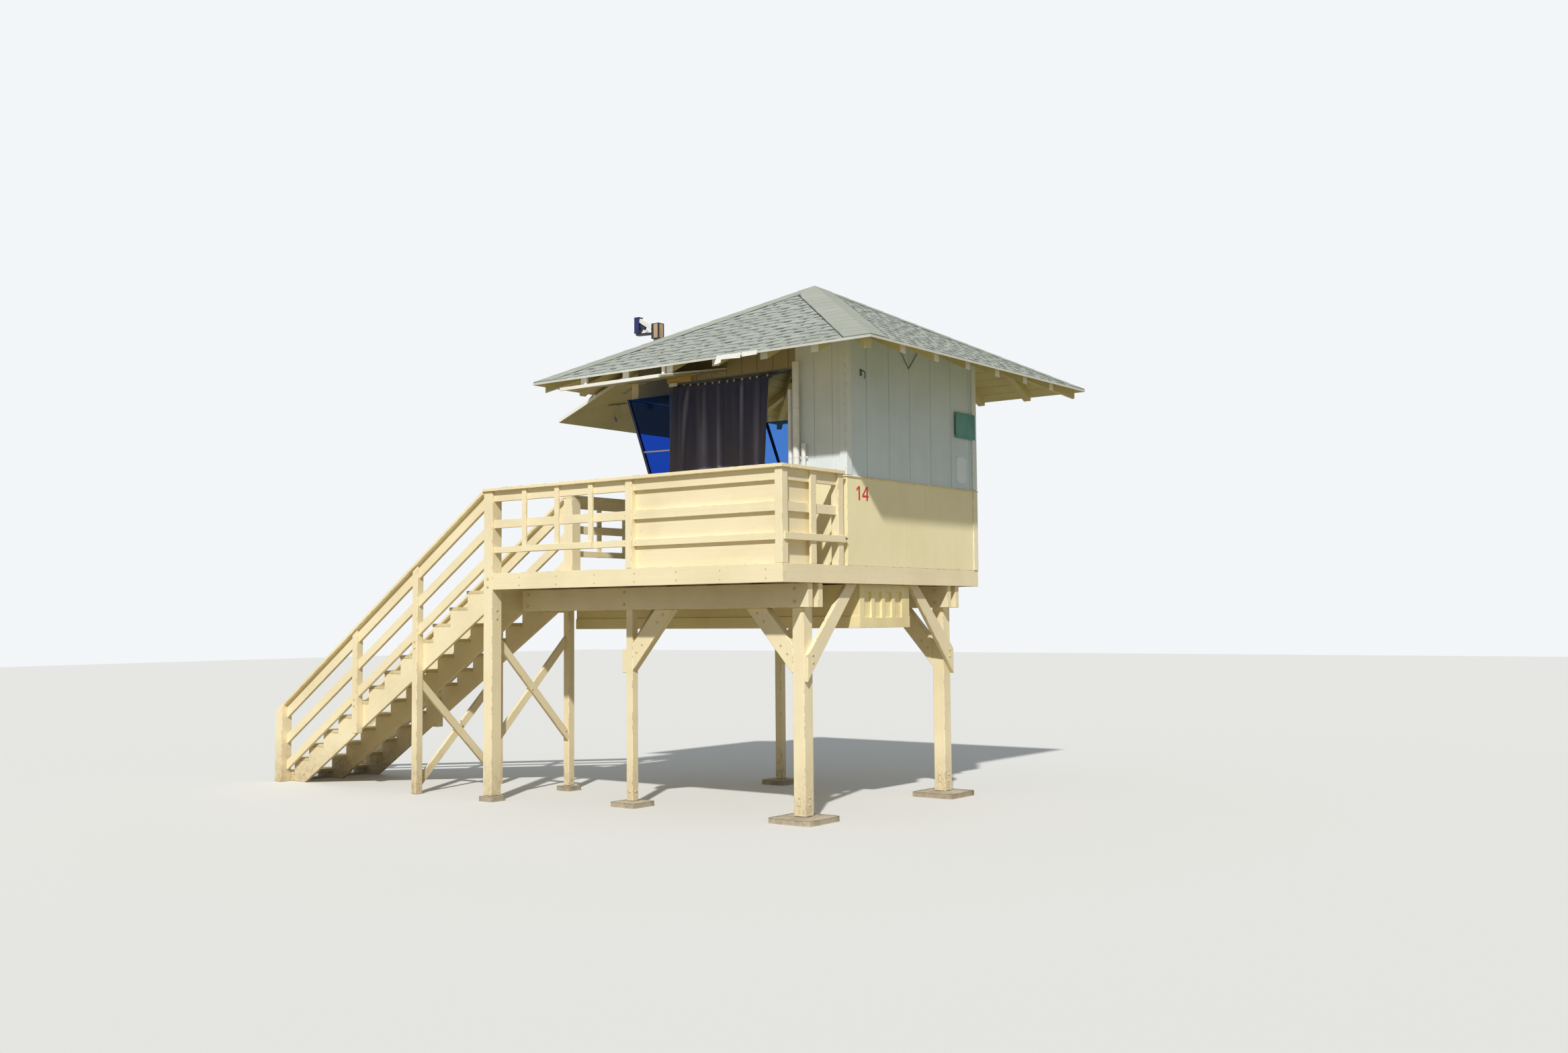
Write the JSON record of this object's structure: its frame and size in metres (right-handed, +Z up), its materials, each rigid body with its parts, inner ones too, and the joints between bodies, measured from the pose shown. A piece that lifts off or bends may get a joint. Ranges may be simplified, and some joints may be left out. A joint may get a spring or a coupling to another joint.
{
  "type": "lifeguard tower",
  "caption": "Raised timber lifeguard tower: hipped roof hut with open shutters on a railed deck, braced legs on pads and a straight open stair.",
  "frame": {"origin": "middle of the outline on the level floor", "axes": "+Z up, +X along the long face away from the stair, +Y from the walkway side to the back"},
  "size_m": [8.917, 4.605, 5.6998],
  "materials": {
    "concrete": "rough sandy concrete",
    "cream_paint": "weathered cream paint on timber",
    "raw_timber": "grey unpainted timber",
    "deck_paint": "worn painted deck boards",
    "cream_siding": "painted grooved siding",
    "white_siding": "painted grooved siding",
    "white_paint": "painted timber",
    "dark_frame": "dark painted frame",
    "tinted_glass": "blue tinted pane",
    "curtain_cloth": "dark woven cloth",
    "white_tube": "white pipe",
    "shingle": "mineral surfaced roof shingles"
  },
  "bodies": {
    "root": {"footings": "concrete", "main_legs": "cream_paint", "floor_beams": "cream_paint", "knee_braces": "cream_paint", "cross_braces": "cream_paint", "joists": "raw_timber", "rim_boards": "cream_paint", "stair_ledger": "cream_paint", "deck_floor": "deck_paint", "under_locker": "cream_paint", "rail_posts": "cream_paint", "stair_newels": "cream_paint", "guard_rails": "cream_paint", "rail_panel": "cream_paint", "balusters": "cream_paint", "rail_caps": "cream_paint", "stair_stringers": "cream_paint", "stair_treads": "deck_paint", "stair_posts": "cream_paint", "stair_rails": "cream_paint", "stair_caps": "cream_paint", "right_wall": "cream_siding", "near_wall": "cream_siding", "far_wall": "cream_siding", "sea_wall": "cream_siding", "right_wall_upper": "white_siding", "near_wall_upper": "white_siding", "lintel": "white_siding", "far_wall_upper": "white_siding", "window_headers": "cream_paint", "window_frames": "dark_frame", "window_panes": "tinted_glass", "wall_trims": "white_paint", "wall_ledge": "cream_paint", "near_shutter": "white_paint", "sea_shutter": "cream_paint", "shutter_props": "white_paint", "curtain_rod": "white_paint", "curtain": "curtain_cloth", "wall_tubes": "white_tube", "rafters": "cream_paint", "hip_rafters": "cream_paint", "roof_sheathing": "cream_paint", "roof_shingles": "shingle", "roof_lamp": "dark_frame"}
  },
  "joints": []
}
